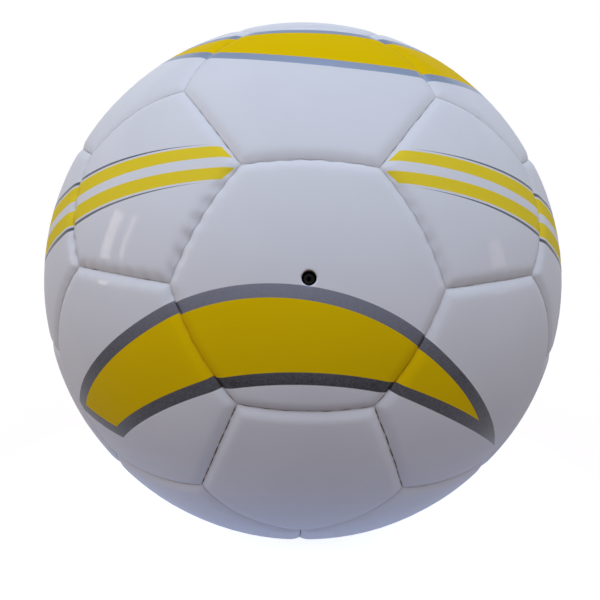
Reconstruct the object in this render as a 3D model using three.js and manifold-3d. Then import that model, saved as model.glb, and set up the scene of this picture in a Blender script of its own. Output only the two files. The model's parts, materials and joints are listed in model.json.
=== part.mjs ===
// Futsal ball, size 4: twenty hexagon and twelve pentagon panels, sewn edge to edge by hand
// over an inflated bladder that holds a soft filling, so that the ball bounces low.
// Millimetres, +Z up. The origin is the ball's centre, the ball stands on the middle of a pentagon,
// and the hexagon with the valve faces -Y.
import * as THREE from "three";
import { mergeVertices } from "three/addons/utils/BufferGeometryUtils.js";
import Module from "manifold-3d";

const wasm = await Module();
wasm.setup();

// The ball and its panels
const BALL_CIRCUMFERENCE = 620;
const PANEL_THICKNESS = 3.2; // outer skin, foam and cloth lining, glued into one sheet
const SEAM_DEPTH = 1.6; // drop from a panel's crown to the thread in the seam
const SHOULDER_WIDTH = 4.6; // strip along each edge that rolls over into the seam
const SEAM_FLANGE_REACH = 1.5; // how far the turned-in edge stands below the lining
const SEAM_FLANGE_THICKNESS = 1.6;
const FOOT_RADIUS = 4.3; // flat under the ball: its weight over the air pressure inside

// The thread that closes the seams
const THREAD_THICKNESS = 0.7;
const THREAD_DEPTH = 2.2; // depth of the row of stitches between the turned-in edges

// The bladder and its filling
const BLADDER_THICKNESS = 0.9;
const FILLING_DEPTH = 26;
const FILLING_EDGE_DROP = 9; // the heap is lower at its rim than in its middle

// The valve
const VALVE_RISE = 2.2; // the valve hole sits this far above the middle of its panel
const VALVE_CORE_DIAMETER = 3.4;
const VALVE_CORE_LENGTH = 15;
const VALVE_CORE_TAPER = 0.4; // the inner end is this much slimmer
const VALVE_RECESS = 1.5; // the core's outer face lies below the panel's surface
const NEEDLE_CHANNEL_DIAMETER = 1.2;
const NEEDLE_CHANNEL_DEPTH = 5;
const VALVE_NECK_WALL = 2.2;
const VALVE_FLANGE_DIAMETER = 26;
const VALVE_FLANGE_THICKNESS = 1.2;
const VALVE_TAIL_LENGTH = 1.5; // neck left beyond the core's inner end
const PATCH_DIAMETER = 32;
const PATCH_THICKNESS = 0.8;

// Clearances and mesh steps
const SEAT_GAP = 0.3; // between pieces that touch on the real ball
const CORE_GAP = 0.35; // around the valve core, in its bore and in the panel's hole
const EDGE_STEPS = 4; // straight steps along a panel's edge
const CROWN_STEPS = 3; // rings from a panel's shoulder to its middle, outside
const LINING_STEPS = 2; // rings from the flange to the middle, inside
const ROUND_STEPS = 24;
const ARC_STEPS = 4;
const BLADDER_DETAIL = 5;

const ballRadius = BALL_CIRCUMFERENCE / (2 * Math.PI);

// Materials
const materials = {
  cover: new THREE.MeshStandardMaterial({ color: 0xeef0f3, roughness: 0.3, metalness: 0 }),
  thread: new THREE.MeshStandardMaterial({ color: 0xb79f78, roughness: 0.8, metalness: 0 }),
  butyl: new THREE.MeshStandardMaterial({ color: 0x26262a, roughness: 0.6, metalness: 0 }),
  valveRubber: new THREE.MeshStandardMaterial({ color: 0x1c1a19, roughness: 0.55, metalness: 0 }),
  patchCloth: new THREE.MeshStandardMaterial({ color: 0x5a5a58, roughness: 0.85, metalness: 0 }),
  filling: new THREE.MeshStandardMaterial({ color: 0xd8d4ca, roughness: 0.95, metalness: 0 }),
};

const ball = new THREE.Group();

function addPiece(name, geometry, material, parent = ball) {
  const piece = new THREE.Mesh(geometry, material);
  piece.name = name;
  parent.add(piece);
}

// Solids for joining and cutting
function toSolid(geometry) {
  const bare = geometry.clone();
  bare.deleteAttribute("normal");
  bare.deleteAttribute("uv");
  const merged = mergeVertices(bare, 1e-4);
  const triVerts = new Uint32Array(merged.index.array);
  const vertProperties = new Float32Array(merged.attributes.position.array);
  return new wasm.Manifold(new wasm.Mesh({ numProp: 3, vertProperties, triVerts }));
}

function fromSolid(solid) {
  const mesh = solid.getMesh();
  const geometry = new THREE.BufferGeometry();
  geometry.setAttribute("position", new THREE.BufferAttribute(mesh.vertProperties, 3));
  geometry.setIndex(new THREE.BufferAttribute(mesh.triVerts, 1));
  return geometry;
}

function fromTriangles(points) {
  const geometry = new THREE.BufferGeometry().setFromPoints(points);
  return mergeVertices(geometry, 1e-4);
}

// Panel layout: an icosahedron stood on one corner, with every corner cut off at a third of its edges.
// A cut corner leaves a pentagon, and a face that lost its corners is a hexagon.
const ringLatitude = Math.atan(1 / 2);
const fifths = [0, 1, 2, 3, 4];
const fifthTurn = 360 / 5;
const frontDegrees = -90; // the way to -Y

function onBall(degreesRound, latitude) {
  const round = THREE.MathUtils.degToRad(degreesRound);
  const reach = Math.cos(latitude);
  return new THREE.Vector3(reach * Math.cos(round), reach * Math.sin(round), Math.sin(latitude));
}

const crown = new THREE.Vector3(0, 0, 1);
const foot = new THREE.Vector3(0, 0, -1);
const uppers = fifths.map((k) => onBall(frontDegrees + (k - 0.5) * fifthTurn, ringLatitude));
const lowers = fifths.map((k) => onBall(frontDegrees + k * fifthTurn, -ringLatitude));
const upper = (k) => uppers[(k + 5) % 5];
const lower = (k) => lowers[(k + 5) % 5];

function cornerBetween(near, far) {
  return near.clone().multiplyScalar(2).add(far).normalize();
}

function pentagon(name, middle, neighbours) {
  const corners = neighbours.map((next) => cornerBetween(middle, next));
  return { name, corners, middle };
}

function hexagon(name, a, b, c) {
  const pairs = [[a, b], [b, a], [b, c], [c, b], [c, a], [a, c]];
  const corners = pairs.map(([near, far]) => cornerBetween(near, far));
  const middle = a.clone().add(b).add(c).normalize();
  return { name, corners, middle };
}

// Corners run anticlockwise, seen from outside the ball
const footPanel = pentagon("foot_pentagon", foot, fifths.map((k) => lower(-k)));
const valvePanel = hexagon("valve_hexagon", upper(0), lower(0), upper(1));
const panels = [footPanel, valvePanel];
panels.push(pentagon("crown_pentagon", crown, uppers));
for (const k of fifths) {
  const number = k + 1;
  const overUpper = [crown, upper(k - 1), lower(k - 1), lower(k), upper(k + 1)];
  const overLower = [upper(k), lower(k - 1), foot, lower(k + 1), upper(k + 1)];
  panels.push(pentagon(`upper_pentagon_${number}`, upper(k), overUpper));
  panels.push(pentagon(`lower_pentagon_${number}`, lower(k), overLower));
  panels.push(hexagon(`crown_hexagon_${number}`, crown, upper(k), upper(k + 1)));
  panels.push(hexagon(`lower_hexagon_${number}`, lower(k), lower(k + 1), upper(k + 1)));
  panels.push(hexagon(`foot_hexagon_${number}`, foot, lower(k + 1), lower(k)));
  if (k > 0) {
    panels.push(hexagon(`upper_hexagon_${number}`, upper(k), lower(k), upper(k + 1)));
  }
}

// A ring of points round a panel, a fixed distance inside its seams, on a sphere
function insetRing(corners, inset, radius) {
  const count = corners.length;
  const lift = inset / radius;
  const normals = corners.map((corner, i) => corner.clone().cross(corners[(i + 1) % count]).normalize());
  const turns = corners.map((corner, i) => {
    const before = normals[(i + count - 1) % count];
    const inward = before.clone().add(normals[i]);
    inward.multiplyScalar(lift / (1 + before.dot(normals[i])));
    const outward = Math.sqrt(1 - inward.lengthSq());
    return inward.addScaledVector(corner, outward);
  });
  const ring = [];
  turns.forEach((turn, i) => {
    for (let step = 0; step < EDGE_STEPS; step += 1) {
      const point = turn.clone().lerp(turns[(i + 1) % count], step / EDGE_STEPS);
      point.addScaledVector(normals[i], -point.dot(normals[i]));
      point.setLength(Math.sqrt(1 - lift * lift)).addScaledVector(normals[i], lift);
      ring.push(point.multiplyScalar(radius));
    }
  });
  return ring;
}

// Smaller rings of the same outline on a sphere, from near a panel's middle out to just inside a ring
function crownRings(ring, middle, radius, steps) {
  const rings = [];
  for (let step = 1; step < steps; step += 1) {
    const centre = middle.clone().multiplyScalar(radius);
    rings.push(ring.map((point) => centre.clone().lerp(point, step / steps).setLength(radius)));
  }
  return rings;
}

// Closed body through a row of rings, from a first point to a last one
function ringBody(first, rings, last) {
  const triangles = [];
  const count = rings[0].length;
  for (let i = 0; i < count; i += 1) {
    const next = (i + 1) % count;
    triangles.push(first, rings[0][i], rings[0][next]);
    for (let r = 0; r + 1 < rings.length; r += 1) {
      const inner = rings[r];
      const outer = rings[r + 1];
      triangles.push(inner[i], outer[i], outer[next]);
      triangles.push(inner[i], outer[next], inner[next]);
    }
    const end = rings[rings.length - 1];
    triangles.push(last, end[next], end[i]);
  }
  return fromTriangles(triangles);
}

// Panels: a crowned sheet whose edge rolls over a rounded shoulder and turns in as a sewing flange
const seamHalfGap = THREAD_THICKNESS / 2 + SEAT_GAP;
const liningRadius = ballRadius - PANEL_THICKNESS;
const flangeRadius = liningRadius - SEAM_FLANGE_REACH;
const shoulderTurn = 0.3; // place of the middle of the rounded shoulder, from the seam to the crown
const shoulderDrop = SEAM_DEPTH * (1 - Math.sqrt(1 - (1 - shoulderTurn) ** 2));
const shoulderInset = seamHalfGap + shoulderTurn * (SHOULDER_WIDTH - seamHalfGap);

function panelBody({ corners, middle }, flatRadius) {
  const flangeInset = seamHalfGap + SEAM_FLANGE_THICKNESS;
  const crownRing = insetRing(corners, SHOULDER_WIDTH, ballRadius);
  const liningRing = insetRing(corners, flangeInset, liningRadius);
  const rings = [
    ...crownRings(crownRing, middle, ballRadius, CROWN_STEPS),
    crownRing,
    insetRing(corners, shoulderInset, ballRadius - shoulderDrop),
    insetRing(corners, seamHalfGap, ballRadius - SEAM_DEPTH),
    insetRing(corners, seamHalfGap, flangeRadius),
    insetRing(corners, flangeInset, flangeRadius),
    liningRing,
    ...crownRings(liningRing, middle, liningRadius, LINING_STEPS).reverse(),
  ];
  const flatHeight = Math.sqrt(ballRadius ** 2 - flatRadius ** 2);
  const outerMiddle = middle.clone().multiplyScalar(flatHeight);
  if (flatRadius > 0) {
    const flatRing = crownRing.map((point) => {
      const sideways = point.clone().addScaledVector(middle, -point.dot(middle));
      return sideways.setLength(flatRadius).add(outerMiddle);
    });
    rings.unshift(flatRing);
  }
  return ringBody(outerMiddle, rings, middle.clone().multiplyScalar(liningRadius));
}

// Valve axis: it stands on the ball's surface, a little above the middle of the valve's panel
const upFromMiddle = crown.clone().addScaledVector(valvePanel.middle, -valvePanel.middle.z).normalize();
const valveAngle = VALVE_RISE / ballRadius;
const valveAxis = valvePanel.middle.clone().multiplyScalar(Math.cos(valveAngle));
valveAxis.addScaledVector(upFromMiddle, Math.sin(valveAngle));
const alongValve = new THREE.Quaternion().setFromUnitVectors(new THREE.Vector3(0, 1, 0), valveAxis);

function valveRod(radius) {
  const rod = new THREE.CylinderGeometry(radius, radius, ballRadius, ROUND_STEPS);
  rod.translate(0, ballRadius, 0);
  return rod.applyQuaternion(alongValve);
}

const coreRadius = VALVE_CORE_DIAMETER / 2;
const coreHoleRadius = coreRadius + CORE_GAP;

for (const panel of panels) {
  let body = panelBody(panel, panel === footPanel ? FOOT_RADIUS : 0);
  if (panel === valvePanel) {
    body = fromSolid(toSolid(body).subtract(toSolid(valveRod(coreHoleRadius))));
  }
  addPiece(panel.name, body, materials.cover);
}

// Seam thread: one unbroken net, a strip on edge in every seam, joined where three seams meet
const threadTop = ballRadius - SEAM_DEPTH;
const threadBottom = threadTop - THREAD_DEPTH;

function threadNet() {
  const triangles = [];
  const addFacing = (a, b, c, facing) => {
    const normal = b.clone().sub(a).cross(c.clone().sub(a));
    triangles.push(...(normal.dot(facing) > 0 ? [a, b, c] : [a, c, b]));
  };
  const addStrip = (a, b, c, d, facing) => {
    addFacing(a, b, c, facing);
    addFacing(a, c, d, facing);
  };
  const nameOf = (corner) => corner.toArray().map((value) => Math.round(value * 1e4)).join(" ");
  const seams = new Map();
  const meetings = new Map();
  for (const { corners, middle } of panels) {
    const above = insetRing(corners, THREAD_THICKNESS / 2, threadTop);
    const below = insetRing(corners, THREAD_THICKNESS / 2, threadBottom);
    above.forEach((point, i) => {
      const next = (i + 1) % above.length;
      addStrip(point, above[next], below[next], below[i], middle.clone().multiplyScalar(ballRadius).sub(point));
    });
    corners.forEach((corner, i) => {
      const take = (ring) => {
        const steps = [...Array(EDGE_STEPS + 1).keys()];
        return steps.map((step) => ring[(i * EDGE_STEPS + step) % ring.length]);
      };
      const seamName = [corner, corners[(i + 1) % corners.length]].map(nameOf).sort().join(" to ");
      const side = { above: take(above), below: take(below) };
      seams.set(seamName, [...(seams.get(seamName) ?? []), side]);
      const turn = { above: above[i * EDGE_STEPS], below: below[i * EDGE_STEPS] };
      meetings.set(nameOf(corner), [...(meetings.get(nameOf(corner)) ?? []), turn]);
    });
  }
  for (const [left, right] of seams.values()) {
    for (let step = 0; step < EDGE_STEPS; step += 1) {
      const back = EDGE_STEPS - step;
      for (const [level, sign] of [["above", 1], ["below", -1]]) {
        const a = left[level][step];
        const b = left[level][step + 1];
        const c = right[level][back - 1];
        const d = right[level][back];
        addStrip(a, b, c, d, a.clone().multiplyScalar(sign));
      }
    }
  }
  for (const [first, second, third] of meetings.values()) {
    addFacing(first.above, second.above, third.above, first.above);
    addFacing(first.below, second.below, third.below, first.below.clone().negate());
  }
  return fromTriangles(triangles);
}

addPiece("seam_thread", threadNet(), materials.thread);

// Bladder: a thin hollow sphere that rests on the sewing flanges, open only where the valve passes.
// Flat steps cut inside the true curve, and these are the depths of the cuts.
const seamAngle = panels[0].corners[0].angleTo(panels[0].corners[1]);
const flangeCut = flangeRadius * (1 - Math.cos(seamAngle / (2 * EDGE_STEPS)));
const panelReach = valvePanel.corners[0].angleTo(valvePanel.middle);
const liningCut = liningRadius * (1 - Math.cos(panelReach / (2 * LINING_STEPS)));
const underFlanges = flangeRadius - flangeCut - SEAT_GAP;
const underPatch = liningRadius - liningCut - PATCH_THICKNESS - 2 * SEAT_GAP;
const bladderRadius = Math.min(underFlanges, underPatch);
const bladderInnerRadius = bladderRadius - BLADDER_THICKNESS;
const neckRadius = coreHoleRadius + VALVE_NECK_WALL;

const bladderSkin = toSolid(new THREE.IcosahedronGeometry(bladderRadius, BLADDER_DETAIL));
const bladderAir = toSolid(new THREE.IcosahedronGeometry(bladderInnerRadius, BLADDER_DETAIL));
const bladderHole = toSolid(valveRod(neckRadius + SEAT_GAP));
addPiece("bladder", fromSolid(bladderSkin.subtract(bladderAir).subtract(bladderHole)), materials.butyl);

// Valve pieces are turned about the valve axis, as heights from the ball's centre
const valve = new THREE.Group();
valve.quaternion.copy(alongValve);
ball.add(valve);

function dishedArc(sphereRadius, fromRadius, toRadius) {
  const points = [];
  for (let step = 0; step <= ARC_STEPS; step += 1) {
    const radius = THREE.MathUtils.lerp(fromRadius, toRadius, step / ARC_STEPS);
    points.push(new THREE.Vector2(radius, Math.sqrt(sphereRadius ** 2 - radius ** 2)));
  }
  return points;
}

function turned(profile) {
  return new THREE.LatheGeometry(profile, ROUND_STEPS);
}

// Valve core: a rubber plug, pushed into the neck from outside and pierced for the inflating needle
const coreTop = ballRadius - VALVE_RECESS;
const coreBottom = coreTop - VALVE_CORE_LENGTH;
const channelFloor = coreTop - NEEDLE_CHANNEL_DEPTH;
const channelRadius = NEEDLE_CHANNEL_DIAMETER / 2;
const coreProfile = [
  new THREE.Vector2(0, coreBottom),
  new THREE.Vector2(coreRadius - VALVE_CORE_TAPER / 2, coreBottom),
  new THREE.Vector2(coreRadius, coreTop),
  new THREE.Vector2(channelRadius, coreTop),
  new THREE.Vector2(0, channelFloor),
];
addPiece("valve_core", turned(coreProfile), materials.valveRubber, valve);

// Valve housing: a moulded neck with a dished flange that the air presses against the bladder's wall
const bladderCut = bladderInnerRadius * (1 - Math.cos(seamAngle / 4));
const flangeSeat = bladderInnerRadius - bladderCut - SEAT_GAP;
const flangeBack = flangeSeat - VALVE_FLANGE_THICKNESS;
const neckTop = liningRadius - liningCut - SEAT_GAP;
const neckBottom = coreBottom - VALVE_TAIL_LENGTH;
const housingProfile = [
  new THREE.Vector2(coreHoleRadius, neckTop),
  new THREE.Vector2(coreHoleRadius, neckBottom),
  new THREE.Vector2(neckRadius, neckBottom),
  ...dishedArc(flangeBack, neckRadius, VALVE_FLANGE_DIAMETER / 2),
  ...dishedArc(flangeSeat, VALVE_FLANGE_DIAMETER / 2, neckRadius),
  new THREE.Vector2(neckRadius, neckTop),
  new THREE.Vector2(coreHoleRadius, neckTop),
];
addPiece("valve_housing", turned(housingProfile), materials.valveRubber, valve);

// Patch: a cloth-backed ring on the bladder, round the neck, under the valve's panel
const patchFace = bladderRadius + SEAT_GAP;
const patchHoleRadius = neckRadius + SEAT_GAP;
const patchProfile = [
  ...dishedArc(patchFace, patchHoleRadius, PATCH_DIAMETER / 2),
  ...dishedArc(patchFace + PATCH_THICKNESS, PATCH_DIAMETER / 2, patchHoleRadius),
];
patchProfile.push(patchProfile[0].clone());
addPiece("valve_patch", turned(patchProfile), materials.patchCloth, valve);

// Filling: a loose heap of soft fibre at the bottom of the bladder, which takes the bounce out
const heapRadius = bladderInnerRadius - bladderCut - SEAT_GAP;
const heapRimHeight = -heapRadius + FILLING_DEPTH - FILLING_EDGE_DROP;
const heapRimAngle = Math.acos(-heapRimHeight / heapRadius);
const heapRimRadius = heapRadius * Math.sin(heapRimAngle);
const heapProfile = [];
for (let step = 0; step <= ARC_STEPS; step += 1) {
  const angle = heapRimAngle * (step / ARC_STEPS);
  heapProfile.push(new THREE.Vector2(heapRadius * Math.sin(angle), -heapRadius * Math.cos(angle)));
}
for (let step = 1; step <= ARC_STEPS; step += 1) {
  const share = 1 - step / ARC_STEPS;
  const height = heapRimHeight + FILLING_EDGE_DROP * Math.cos((share * Math.PI) / 2);
  heapProfile.push(new THREE.Vector2(heapRimRadius * share, height));
}
const heap = turned(heapProfile);
heap.rotateX(Math.PI / 2);
addPiece("low_bounce_filling", heap, materials.filling);

export default ball;
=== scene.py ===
import json
import math

import bpy
import numpy as np
from mathutils import Matrix, Vector


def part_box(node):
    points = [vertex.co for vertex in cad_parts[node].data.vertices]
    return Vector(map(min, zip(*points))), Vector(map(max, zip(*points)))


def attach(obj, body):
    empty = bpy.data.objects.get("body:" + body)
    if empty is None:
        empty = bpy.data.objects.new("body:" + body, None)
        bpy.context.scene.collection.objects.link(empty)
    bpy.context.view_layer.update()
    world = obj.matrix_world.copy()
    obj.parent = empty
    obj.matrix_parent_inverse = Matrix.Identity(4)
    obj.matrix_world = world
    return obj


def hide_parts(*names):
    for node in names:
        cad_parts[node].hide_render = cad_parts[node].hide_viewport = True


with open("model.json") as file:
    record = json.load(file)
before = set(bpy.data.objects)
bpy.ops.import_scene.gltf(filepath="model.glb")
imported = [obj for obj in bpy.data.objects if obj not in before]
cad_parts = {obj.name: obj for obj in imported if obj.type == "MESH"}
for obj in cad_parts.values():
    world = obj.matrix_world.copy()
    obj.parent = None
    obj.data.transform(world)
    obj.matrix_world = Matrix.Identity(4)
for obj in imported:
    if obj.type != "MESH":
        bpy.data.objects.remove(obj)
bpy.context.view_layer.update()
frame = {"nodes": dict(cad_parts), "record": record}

# Low-bounce filling: a loose heap of crimped polyester fibre that lies in the bottom of the bladder.
# It is put in before the valve is bonded, and it takes the bounce out of the ball.
mm = 0.001
filling_lumps = 3.5
filling_lump_width = 24
filling_lump_seed = 3
filling_slack = 0.004
filling_calm_rim = 1.3
filling_round_steps = 96
filling_rows = 18


def linear(srgb):
    """An sRGB colour, written as six hex digits, as linear red, green, blue and alpha."""
    shares = [int(srgb[place:place + 2], 16) / 255 for place in (0, 2, 4)]
    curved = [s / 12.92 if s <= 0.04045 else ((s + 0.055) / 1.055) ** 2.4 for s in shares]
    return (*curved, 1.0)


def add_node(tree, kind, inputs=(), output=None, **settings):
    """Adds a node with its settings and links.

    Inputs go by identifier, or in order as a list. Each is a value or another node's output.
    """
    node = tree.nodes.new("ShaderNode" + kind)
    for name, value in settings.items():
        setattr(node, name, value)
    sockets = {socket.identifier: socket for socket in node.inputs if socket.enabled}
    by_name = inputs if isinstance(inputs, dict) else dict(zip(sockets, inputs))
    for name, value in by_name.items():
        if isinstance(value, bpy.types.NodeSocket):
            tree.links.new(value, sockets[name])
        else:
            sockets[name].default_value = value
    if output:
        return node.outputs[output]
    return next((socket for socket in node.outputs if socket.enabled), None)


def new_material(name):
    """A material, its emptied node tree, and in that tree the place on the piece."""
    material = bpy.data.materials.new(name)
    material.use_nodes = True
    tree = material.node_tree
    tree.nodes.clear()
    return material, tree, add_node(tree, "TexCoord", output="Object")


def wander(points, wavelength, seed):
    """A smooth wandering value at each point, about -1 to 1, that turns over within a wavelength."""
    wave_count = 14
    swing = 2.5
    draw = np.random.default_rng(seed)
    waves = draw.normal(size=(wave_count, 3))
    waves *= 2 * math.pi / wavelength / np.linalg.norm(waves, axis=1, keepdims=True)
    phases = draw.uniform(0, 2 * math.pi, wave_count)
    return swing * np.sin(points @ waves.T + phases).mean(axis=1)


def strip(first, first_count, second, second_count):
    """Faces between two rows that run round alike; counts are equal, doubled, halved or one."""
    if first_count == 1:
        return [(first, second + i, second + (i + 1) % second_count) for i in range(second_count)]
    if second_count == 1:
        return [(first + i, second, first + (i + 1) % first_count) for i in range(first_count)]
    faces = []
    for i in range(min(first_count, second_count)):
        j = i + 1
        if first_count == second_count:
            j %= first_count
            faces.append((first + i, second + i, second + j, first + j))
        elif first_count > second_count:
            middle, after = 2 * i + 1, 2 * j % first_count
            faces.append((first + 2 * i, second + i, first + middle))
            faces.append((first + middle, second + i, second + j % second_count, first + after))
        else:
            middle, after = 2 * i + 1, 2 * j % second_count
            faces.append((first + i, second + 2 * i, second + middle))
            faces.append((first + i, second + middle, second + after, first + j % first_count))
    return faces


def skin(rows, round_again=False):
    """Points and faces of a skin over rows of points, and for each face the row that it starts from."""
    starts = np.cumsum([0] + [len(row) for row in rows])
    order = list(zip(range(len(rows) - 1), range(1, len(rows))))
    if round_again:
        order.append((len(rows) - 1, 0))
    faces = []
    bands = []
    for one, other in order:
        made = strip(int(starts[one]), len(rows[one]), int(starts[other]), len(rows[other]))
        faces += made
        bands += [one] * len(made)
    return np.concatenate(rows), faces, bands


def mesh_piece(name, points, faces, *materials):
    """A smooth-shaded object from points in millimetres."""
    mesh = bpy.data.meshes.new(name)
    mesh.from_pydata((points * mm).tolist(), [], faces)
    mesh.polygons.foreach_set("use_smooth", [True] * len(faces))
    for material in materials:
        mesh.materials.append(material)
    piece = bpy.data.objects.new(name, mesh)
    bpy.context.scene.collection.objects.link(piece)
    return piece


def round_row(radius, height, count):
    """Points on a level circle, anticlockwise seen from above."""
    turns = 2 * math.pi * np.arange(count) / count
    return np.stack([radius * np.cos(turns), radius * np.sin(turns), np.full(count, height)], axis=1)


def fibre_wadding():
    """Polyester staple wadding: matt, off-white, with a tangle of pale strands and painted shade in the
    soft hollows.
    """
    strand_width = 0.8 * mm
    tuft_width = 9 * mm
    material, tree, place = new_material("polyester_fibre_wadding")
    tufts = add_node(tree, "TexNoise", {"Vector": place, "Scale": 1 / tuft_width, "Detail": 3.0})
    strands = add_node(tree, "TexNoise", {
        "Vector": place, "Scale": 1 / strand_width, "Detail": 4.0, "Distortion": 2.5})
    tangle = add_node(tree, "Math", [tufts, strands], operation="MULTIPLY")
    # Painted shade: the colour darkens where the tangle sinks into hollows.
    colour = add_node(tree, "Mix", [tangle, linear("A69F90"), linear("F2EFE6")], data_type="RGBA")
    bump = add_node(tree, "Bump", {"Height": tangle, "Strength": 0.8, "Distance": 1.2 * mm})
    surface = add_node(tree, "BsdfPrincipled", {
        "Base Color": colour, "Roughness": 0.95, "Sheen Weight": 0.4, "Normal": bump})
    add_node(tree, "OutputMaterial", [surface])
    return material


def filling_mesh():
    """The heap: round below, where it lies in the bladder, and softly lumped on top."""
    low, high = (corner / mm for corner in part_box("low_bounce_filling"))
    bowl_radius = -low.z
    rim_radius = high.x
    rim_height = -math.sqrt(bowl_radius ** 2 - rim_radius ** 2)
    rows = [np.array([[0.0, 0.0, high.z]])]
    for row in range(1, filling_rows):
        share = row / filling_rows
        height = rim_height + (high.z - rim_height) * math.cos(share * math.pi / 2)
        rows.append(round_row(rim_radius * share, height, filling_round_steps))
    for row in range(filling_rows + 1):
        angle = math.asin(rim_radius / bowl_radius) * (1 - row / filling_rows)
        count = filling_round_steps if row < filling_rows else 1
        radius = bowl_radius * math.sin(angle)
        rows.append(round_row(radius, -bowl_radius * math.cos(angle), count))
    points, faces = skin(rows)[:2]
    lumps = np.clip(wander(points, filling_lump_width, filling_lump_seed) * 0.5 + 0.5, 0, 1.2)
    points *= 1 - filling_slack * lumps[:, None]
    upper_face = np.arange(len(points)) < 1 + (filling_rows - 1) * filling_round_steps
    rim_share = np.hypot(points[:, 0], points[:, 1]) / rim_radius
    points[:, 2] -= filling_lumps * lumps * upper_face * np.clip(filling_calm_rim - rim_share, 0, 1)
    return points, faces


points, faces = filling_mesh()
filling = mesh_piece("fibre_filling", points, faces, fibre_wadding())
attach(filling, "ball")
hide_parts("low_bounce_filling")

# Bladder: a thin hollow sphere of black butyl rubber, moulded in two halves, which holds the air.
# It lies under the panels and touches the sewn edges, so it shows only when the cover is opened.


def butyl_rubber():
    """Moulded butyl: black, satin, with a grey dusting of talc that keeps it from sticking."""
    talc_patch = 14 * mm
    mould_grain = 0.7 * mm
    material, tree, place = new_material("butyl_rubber")
    talc = add_node(tree, "TexNoise", {"Vector": place, "Scale": 1 / talc_patch, "Detail": 5.0})
    grain = add_node(tree, "TexNoise", {"Vector": place, "Scale": 1 / mould_grain, "Detail": 2.0})
    colour = add_node(tree, "Mix", [talc, linear("161618"), linear("46464A")], data_type="RGBA")
    roughness = add_node(tree, "MapRange", {"Value": talc, "To Min": 0.45, "To Max": 0.75})
    bump = add_node(tree, "Bump", {"Height": grain, "Strength": 0.3, "Distance": 0.1 * mm})
    surface = add_node(tree, "BsdfPrincipled", {
        "Base Color": colour, "Roughness": roughness, "IOR": 1.52, "Normal": bump})
    add_node(tree, "OutputMaterial", [surface])
    return material


def dress(node, material):
    """Gives a piece of the frame its finish."""
    mesh = frame["nodes"][node].data
    mesh.materials.clear()
    mesh.materials.append(material)


dress("bladder", butyl_rubber())

# Valve: a moulded rubber housing bonded in the bladder's wall, a cloth patch glued round its neck,
# and a soft rubber core pressed into the neck from outside, with a slit for the inflating needle.
ball_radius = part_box("crown_pentagon")[1].z / mm
valve_axis = np.array(frame["record"]["behaviour"]["joints"][0]["axis"])
core_radius = 1.7
core_length = 15
core_taper = 0.2
core_recess = 1.5
core_edge = 0.35
needle_funnel_radius = 0.62
needle_funnel_depth = 5
needle_lip = 0.2
needle_slit_radius = 0.12
needle_slit_share = 0.9
funnel_waist_share = 0.75
funnel_waist_depth = 0.6
core_round_steps = 48


def valve_rubber():
    """Soft natural rubber: brown-black, slightly shiny where the needle has rubbed it."""
    smear = 2.2 * mm
    grain_width = 0.25 * mm
    material, tree, place = new_material("natural_rubber")
    smears = add_node(tree, "TexNoise", {"Vector": place, "Scale": 1 / smear, "Detail": 3.0})
    grain = add_node(tree, "TexNoise", {"Vector": place, "Scale": 1 / grain_width})
    colour = add_node(tree, "Mix", [smears, linear("060505"), linear("14110F")], data_type="RGBA")
    roughness = add_node(tree, "MapRange", {"Value": smears, "To Min": 0.4, "To Max": 0.65})
    bump = add_node(tree, "Bump", {"Height": grain, "Strength": 0.25, "Distance": 0.05 * mm})
    surface = add_node(tree, "BsdfPrincipled", {
        "Base Color": colour, "Roughness": roughness, "IOR": 1.52, "Specular IOR Level": 0.12,
        "Normal": bump})
    add_node(tree, "OutputMaterial", [surface])
    return material


def plain_weave(name, thread_pitch, warp_way, dark, light, roughness, relief, depth):
    """Woven cloth with round threads, with painted shade where they cross under; sizes in millimetres.
    """
    material, tree, place = new_material(name)
    weave_scale = math.pi / (10 * thread_pitch * mm)
    warp = add_node(tree, "TexWave", {"Vector": place, "Scale": weave_scale}, bands_direction=warp_way)
    weft = add_node(tree, "TexWave", {"Vector": place, "Scale": weave_scale}, bands_direction="Z")
    weave = add_node(tree, "Math", [warp, weft], operation="MAXIMUM")
    # Painted shade: the threads are darker where they dip under each other.
    colour = add_node(tree, "Mix", [weave, linear(dark), linear(light)], data_type="RGBA")
    bump = add_node(tree, "Bump", {"Height": weave, "Strength": relief, "Distance": depth * mm})
    surface = add_node(tree, "BsdfPrincipled", {
        "Base Color": colour, "Roughness": roughness, "Normal": bump})
    add_node(tree, "OutputMaterial", [surface])
    return material


def quarter_turns(steps):
    """The angles of a quarter turn in even steps."""
    return [step / steps * math.pi / 2 for step in range(steps + 1)]


def core_mesh():
    """The core, turned about its axis: rounded ends, and a lipped funnel that leads the needle in."""
    top = ball_radius - core_recess
    outline = [
        (0, top - needle_funnel_depth),
        (needle_slit_radius, top - needle_slit_share * needle_funnel_depth),
        (funnel_waist_share * needle_funnel_radius, top - funnel_waist_depth),
    ]
    for turn in quarter_turns(4):
        outline.append((needle_funnel_radius + needle_lip * (1 - math.cos(turn)),
                        top - needle_lip * (1 - math.sin(turn))))
    for turn in quarter_turns(5):
        outline.append((core_radius - core_edge * (1 - math.sin(turn)),
                        top - core_edge * (1 - math.cos(turn))))
    foot_radius = core_radius - core_taper
    for turn in quarter_turns(5):
        outline.append((foot_radius - core_edge * (1 - math.cos(turn)),
                        top - core_length + core_edge * (1 - math.sin(turn))))
    outline.append((0, top - core_length))
    rows = []
    for radius, height in outline:
        rows.append(round_row(radius, height, core_round_steps if radius > 0 else 1))
    points, faces = skin(rows)[:2]
    turned = Vector((0, 0, 1)).rotation_difference(Vector(valve_axis)).to_matrix()
    return points @ np.array(turned).T, faces


core_rubber = valve_rubber()
points, faces = core_mesh()
core = mesh_piece("needle_core", points, faces, core_rubber)
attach(core, "valve_core")
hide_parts("valve_core")
dress("valve_housing", core_rubber)
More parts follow.
